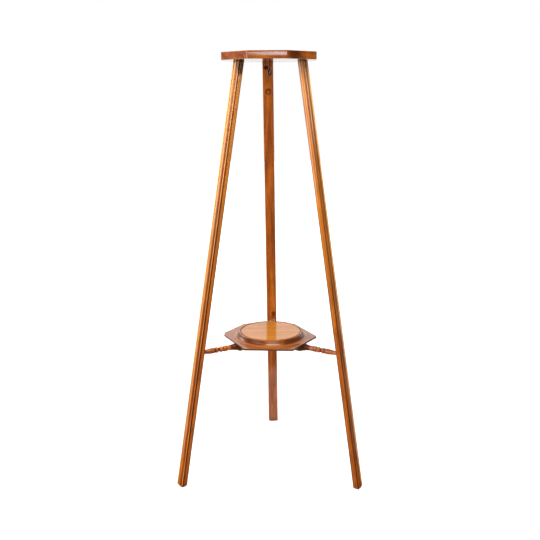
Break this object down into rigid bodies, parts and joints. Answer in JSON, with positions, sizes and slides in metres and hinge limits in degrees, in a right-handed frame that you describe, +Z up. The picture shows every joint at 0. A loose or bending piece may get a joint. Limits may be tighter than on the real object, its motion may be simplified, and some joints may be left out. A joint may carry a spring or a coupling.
{
  "type": "plant stand",
  "caption": "Tall wooden plant stand: an octagonal top on splayed moulded legs, with a round-faced hexagonal shelf low down on turned arms.",
  "frame": {"origin": "on the floor, in the middle of the rectangle that bounds the stand seen from above", "axes": "+Z up; +Y towards the back leg, so -Y is the front between the two front legs; +X to the right seen from the front"},
  "size_m": [0.4716, 0.4104, 1.065],
  "materials": {
    "top_wood": "gloss varnish",
    "leg_wood": "gloss varnish",
    "shelf_wood": "gloss varnish",
    "arm_wood": "gloss varnish",
    "plug_wood": "gloss varnish",
    "steel": "dull, slightly tarnished"
  },
  "bodies": {
    "root": {"top": "top_wood", "leg_back": "leg_wood", "leg_left": "leg_wood", "leg_right": "leg_wood", "leg_dowels": "plug_wood", "shelf": "shelf_wood", "hub": "arm_wood", "arm_back": "arm_wood", "arm_left": "arm_wood", "arm_right": "arm_wood", "arm_screws": "steel", "shelf_screws": "steel", "hanging_eye": "steel", "leg_plug": "plug_wood"}
  },
  "joints": []
}
